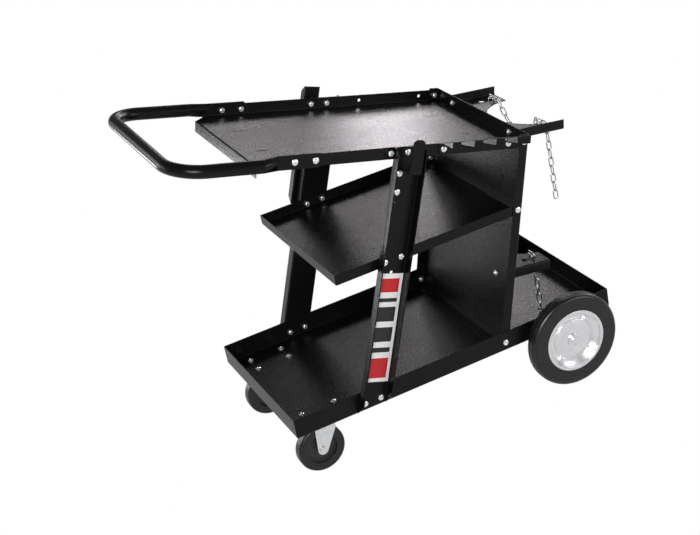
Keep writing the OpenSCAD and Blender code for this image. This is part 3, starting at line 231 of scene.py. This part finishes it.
HANDLE_FINISH = powder_coat("handle_coat", 0.13, 0.00008)
WHEEL_RUBBER = tyre_rubber("wheel_rubber", REAR_AXLE, RING_RATE)
SPECIAL = {"handle": HANDLE_FINISH, "wheel_tyre_near": WHEEL_RUBBER, "wheel_tyre_far": WHEEL_RUBBER}
SLOT = {s["node"]: s["material_slot"] for s in frame["record"]["subparts"]}
for name, obj in frame["nodes"].items():
    obj.data.materials.clear()
    obj.data.materials.append(SPECIAL.get(name, FINISH[SLOT[name]]))
    for polygon in obj.data.polygons:
        polygon.use_smooth = True
    weld = obj.modifiers.new("weld", "WELD")
    weld.merge_threshold = WELD_REACH
    split = obj.modifiers.new("edges", "EDGE_SPLIT")
    split.split_angle = EDGE_ANGLE


# Film on the near post, whose web leans back along the cart and a little inwards

POST_LEAN = math.radians(20)
UP = Vector((math.sin(POST_LEAN), 0, math.cos(POST_LEAN)))
ACROSS = Vector((math.cos(POST_LEAN), 0, -math.sin(POST_LEAN)))
POST_IN = math.atan(3.4 / 464.0)
POST_X = -0.12472
POST_FACE = 0.1882
TRAY_TOP = 0.162
FILM_GAP = 0.0003
FILM_THICK = 0.00012
FILM_HALF = 0.0262
BLOCK_HALF = 0.0200
BLOCK_LIFT = 0.00013


def on_post(across, up):
    """A place on the web's outer face: metres across it and up it from the tray's top edge."""
    p = Vector((POST_X, 0, TRAY_TOP)) + ACROSS * across + UP * up
    face = POST_FACE - (p.z - TRAY_TOP) * math.tan(POST_IN) + FILM_GAP
    return Vector((p.x, -face, p.z))


def film(name, half, low, high, mat, lift=0.0):
    """A thin plate on the web, from one height to another."""
    corners = [(-half, low), (half, low), (half, high), (-half, high)]
    verts = []
    for depth in (0.0, FILM_THICK):
        for across, along in corners:
            verts.append(on_post(across, along) + Vector((0, -lift - depth, 0)))
    faces = [(4, 5, 6, 7), (3, 2, 1, 0), (0, 1, 5, 4), (1, 2, 6, 5), (2, 3, 7, 6), (3, 0, 4, 7)]
    mesh = bpy.data.meshes.new(name)
    mesh.from_pydata(verts, [], faces)
    mesh.materials.append(mat)
    obj = bpy.data.objects.new(name, mesh)
    bpy.context.scene.collection.objects.link(obj)
    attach(obj, "cart")


WHITE = label_film("film_white", (0.88, 0.87, 0.87), (0.93, 0.92, 0.92))
RED = label_film("film_red", (0.52, 0.012, 0.018), (0.60, 0.016, 0.022))
BLACK = label_film("film_black", (0.010, 0.010, 0.011), (0.016, 0.016, 0.017))
film("film_base", FILM_HALF, 0.012, 0.236, WHITE)
film("film_red_low", BLOCK_HALF, 0.020, 0.062, RED, BLOCK_LIFT)
film("film_black_low", BLOCK_HALF, 0.074, 0.084, BLACK, BLOCK_LIFT)
film("film_black_mid", BLOCK_HALF, 0.096, 0.126, BLACK, BLOCK_LIFT)
film("film_black_high", BLOCK_HALF, 0.138, 0.168, BLACK, BLOCK_LIFT)
film("film_black_top", BLOCK_HALF, 0.178, 0.186, BLACK, BLOCK_LIFT)
film("film_red_top", BLOCK_HALF, 0.198, 0.226, RED, BLOCK_LIFT)


# Floor, lights and camera

FLOOR_SIZE = 40
FLOOR_SHARE = 0.58
WORLD_SHARE = 0.14


def white_share(tree, share):
    """1 for camera rays, and a share of it for glossy and transmission rays."""
    path = tree.nodes.new("ShaderNodeLightPath")

    def math_node(what, a, b):
        node = tree.nodes.new("ShaderNodeMath")
        node.operation = what
        for socket, value in zip(node.inputs, (a, b)):
            if isinstance(value, float):
                socket.default_value = value
            else:
                tree.links.new(value, socket)
        return node.outputs["Value"]

    seen = math_node("MAXIMUM", path.outputs["Is Glossy Ray"], path.outputs["Is Transmission Ray"])
    part = math_node("MULTIPLY", seen, share)
    return math_node("MAXIMUM", path.outputs["Is Camera Ray"], part)


def white_floor():
    mat = bpy.data.materials.new("backdrop")
    mat.use_nodes = True
    tree = mat.node_tree
    tree.nodes.clear()
    out = tree.nodes.new("ShaderNodeOutputMaterial")
    white = tree.nodes.new("ShaderNodeEmission")
    white.inputs["Color"].default_value = (1, 1, 1, 1)
    white.inputs["Strength"].default_value = 1.0
    grey = tree.nodes.new("ShaderNodeBsdfDiffuse")
    grey.inputs["Color"].default_value = (0.32, 0.32, 0.325, 1)
    mix = tree.nodes.new("ShaderNodeMixShader")
    tree.links.new(white_share(tree, FLOOR_SHARE), mix.inputs[0])
    tree.links.new(grey.outputs[0], mix.inputs[1])
    tree.links.new(white.outputs[0], mix.inputs[2])
    tree.links.new(mix.outputs[0], out.inputs["Surface"])
    return mat


bpy.ops.mesh.primitive_plane_add(size=FLOOR_SIZE, location=(0, 0, 0))
floor = bpy.context.object
floor.name = "floor"
floor.data.materials.append(white_floor())

world = bpy.data.worlds.new("studio")
bpy.context.scene.world = world
world.use_nodes = True
wt = world.node_tree
wt.nodes.clear()
w_out = wt.nodes.new("ShaderNodeOutputWorld")
w_mix = wt.nodes.new("ShaderNodeMixShader")
w_soft = wt.nodes.new("ShaderNodeBackground")
w_soft.inputs["Color"].default_value = (0.90, 0.93, 1.0, 1)
w_soft.inputs["Strength"].default_value = 0.05
w_white = wt.nodes.new("ShaderNodeBackground")
w_white.inputs["Color"].default_value = (1, 1, 1, 1)
w_white.inputs["Strength"].default_value = 1.0
wt.links.new(white_share(wt, WORLD_SHARE), w_mix.inputs[0])
wt.links.new(w_soft.outputs[0], w_mix.inputs[1])
wt.links.new(w_white.outputs[0], w_mix.inputs[2])
wt.links.new(w_mix.outputs[0], w_out.inputs["Surface"])


def area(name, at, look, size, power, colour=(1, 1, 1)):
    data = bpy.data.lights.new(name, "AREA")
    data.shape = "RECTANGLE"
    data.size, data.size_y = size
    data.energy = power
    data.color = colour
    obj = bpy.data.objects.new(name, data)
    bpy.context.scene.collection.objects.link(obj)
    obj.location = at
    obj.rotation_euler = (Vector(look) - Vector(at)).to_track_quat("-Z", "Y").to_euler()


# The small panels behind the cart are mirrored by its level faces
PINK = (1.0, 0.955, 0.99)
PANEL = (0.25, 0.25)
area("key", (-1.3, -2.9, 1.9), (0, 0, 0.3), (1.5, 1.2), 80)
area("fill_far", (-2.2, 2.6, 1.3), (0, 0, 0.4), (1.6, 1.2), 14)
area("fill_end", (2.9, 1.0, 1.2), (0, 0, 0.4), (1.6, 1.2), 35)
area("sheen_front", (1.7, -1.9, 0.85), (0, 0, 0.4), (1.6, 1.0), 16)
area("sheen_handle", (-2.2, 1.3, 1.05), (0, 0, 0.4), (1.6, 1.0), 16)
area("back_left", (0.30, 1.25, 1.03), (-0.25, 0, 0.28), PANEL, 0.64, PINK)
area("back_middle", (0.55, 1.25, 1.03), (0, 0, 0.28), PANEL, 0.74, PINK)
area("back_low", (0.80, 1.25, 0.78), (0.25, 0, 0.03), PANEL, 2.05, PINK)
area("back_right", (1.05, 1.25, 1.06), (0.50, 0, 0.31), PANEL, 1.65, PINK)
area("back_end", (1.30, 1.25, 0.78), (0.75, 0, 0.03), PANEL, 0.25, PINK)
area("apron_strip", (-0.97, 1.25, 0.27), (-0.2, -0.1, 0.62), (0.40, 0.22), 3.0)

# Camera: the point it looks at, its distance, its three angles and its focal length in pixels
AZ, EL, ROLL = math.radians(-20.330), math.radians(26.811), math.radians(-11.975)
TARGET = Vector((-52.88, 2.68, 326.22)) * MM
DIST = 3044.78 * MM
FOCAL_PX = 1508.256
WIDTH_PX = 700
SENSOR_MM = 36
fwd = Vector((-math.sin(AZ) * math.cos(EL), math.cos(AZ) * math.cos(EL), -math.sin(EL)))
right = Vector((math.cos(AZ), math.sin(AZ), 0))
up = Vector((-math.sin(AZ) * math.sin(EL), math.cos(AZ) * math.sin(EL), math.cos(EL)))
rolled_right = right * math.cos(ROLL) + up * math.sin(ROLL)
rolled_up = up * math.cos(ROLL) - right * math.sin(ROLL)
place = Matrix((rolled_right, rolled_up, -fwd)).transposed().to_4x4()
place.translation = TARGET - fwd * DIST
cam_data = bpy.data.cameras.new("camera")
cam_data.sensor_width = SENSOR_MM
cam_data.lens = FOCAL_PX * SENSOR_MM / WIDTH_PX
camera = bpy.data.objects.new("camera", cam_data)
bpy.context.scene.collection.objects.link(camera)
camera.matrix_world = place
bpy.context.scene.camera = camera
bpy.context.scene.view_settings.view_transform = "Standard"
